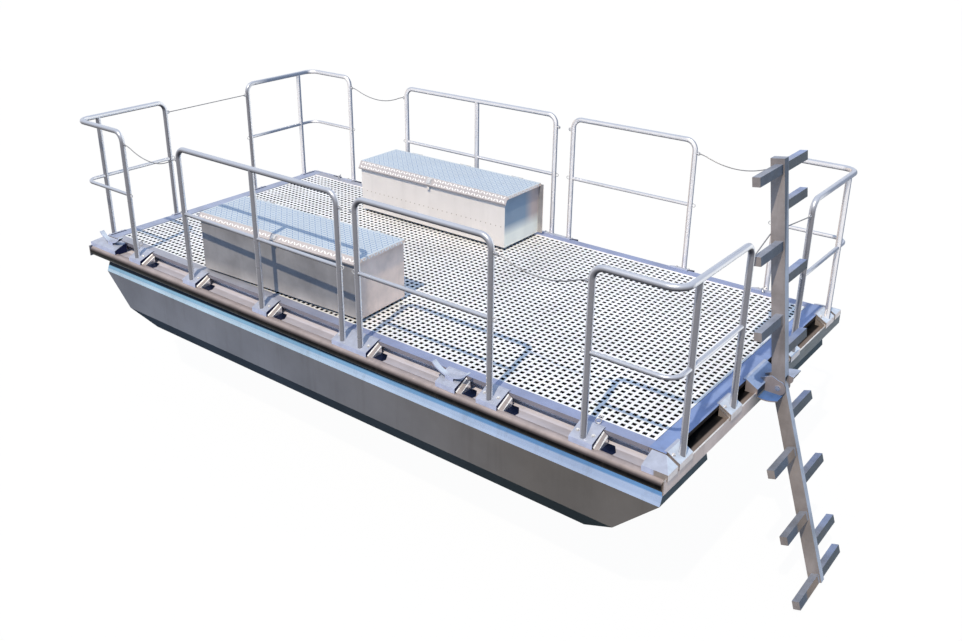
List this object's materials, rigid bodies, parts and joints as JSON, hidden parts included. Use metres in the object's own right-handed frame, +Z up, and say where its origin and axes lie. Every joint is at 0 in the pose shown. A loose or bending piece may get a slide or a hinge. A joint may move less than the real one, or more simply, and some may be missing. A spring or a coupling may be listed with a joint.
{
  "type": "work pontoon",
  "caption": "Twin-hull work pontoon with a mesh deck, tube railings, two storage boxes with hinged lids and a central-spar boarding ladder that swings up.",
  "frame": {"origin": "the middle of the deck in plan, at the waterline of the empty pontoon", "axes": "+X towards the stern, where the ladder hangs; +Y to starboard; +Z up"},
  "size_m": [6.3337, 2.8586, 2.9099],
  "materials": {
    "box": "mill finish sheet",
    "bracket": "mill finish",
    "cleat": "mill finish, worn bright on the horns",
    "float": "satin grey paint over steel plate",
    "frame": "mill finish, dull",
    "grating": "hot-dip galvanised",
    "gutter": "mill finish, weathered",
    "ladder": "mill finish, oxidised",
    "lid": "chequer plate, mill finish",
    "rail": "satin anodised",
    "rub": "mill finish, scuffed",
    "steel": "stainless, satin",
    "wire": "stainless wire rope"
  },
  "bodies": {
    "pontoon": {"brackets_bow": "bracket", "brackets_port": "bracket", "brackets_starboard": "bracket", "brackets_stern": "bracket", "cleat_bow_port": "cleat", "cleat_side_port": "cleat", "corner_covers": "bracket", "deck_joists": "frame", "end_beam_bow": "gutter", "end_beam_stern": "gutter", "float_port": "float", "float_starboard": "float", "grating_lower_bars": "grating", "grating_upper_bars": "grating", "hinge_pins_port": "steel", "hinge_pins_starboard": "steel", "ladder_bracket": "bracket", "ladder_pin": "steel", "ladder_upper": "ladder", "railing_bow_port": "rail", "railing_bow_starboard": "rail", "railing_port_aft": "rail", "railing_port_fore": "rail", "railing_starboard_aft": "rail", "railing_starboard_fore": "rail", "railing_stern_port": "rail", "railing_stern_starboard": "rail", "rub_ledge_port": "gutter", "rub_ledge_starboard": "gutter", "rub_tube_port": "rub", "rub_tube_starboard": "rub", "side_beam_port": "frame", "side_beam_starboard": "frame", "storage_box_port": "box", "storage_box_starboard": "box", "wire_bow": "wire", "wire_port_aft": "wire", "wire_port_fore": "wire", "wire_starboard_aft": "wire", "wire_starboard_fore": "wire", "wire_stern": "wire"},
    "lid_port": {"storage_lid_port": "lid", "latch_port": "steel"},
    "lid_starboard": {"storage_lid_starboard": "lid", "latch_starboard": "steel"},
    "ladder_lower": {"ladder_lower": "ladder"}
  },
  "joints": [
    {"name": "ladder_swing", "type": "hinge", "parent": "pontoon", "child": "ladder_lower", "pos_m": [2.972, 0, 0.437], "axis": [0, -1, 0], "range_deg": [0, 100]},
    {"name": "lid_port_hinge", "type": "hinge", "parent": "pontoon", "child": "lid_port", "pos_m": [-0.63653, -0.65084, 0.986], "axis": [-0.9987, -0.0506, 0], "range_deg": [0, 95]},
    {"name": "lid_starboard_hinge", "type": "hinge", "parent": "pontoon", "child": "lid_starboard", "pos_m": [-0.64, 1.2075, 0.976], "axis": [-1, 0, 0], "range_deg": [0, 95]}
  ]
}
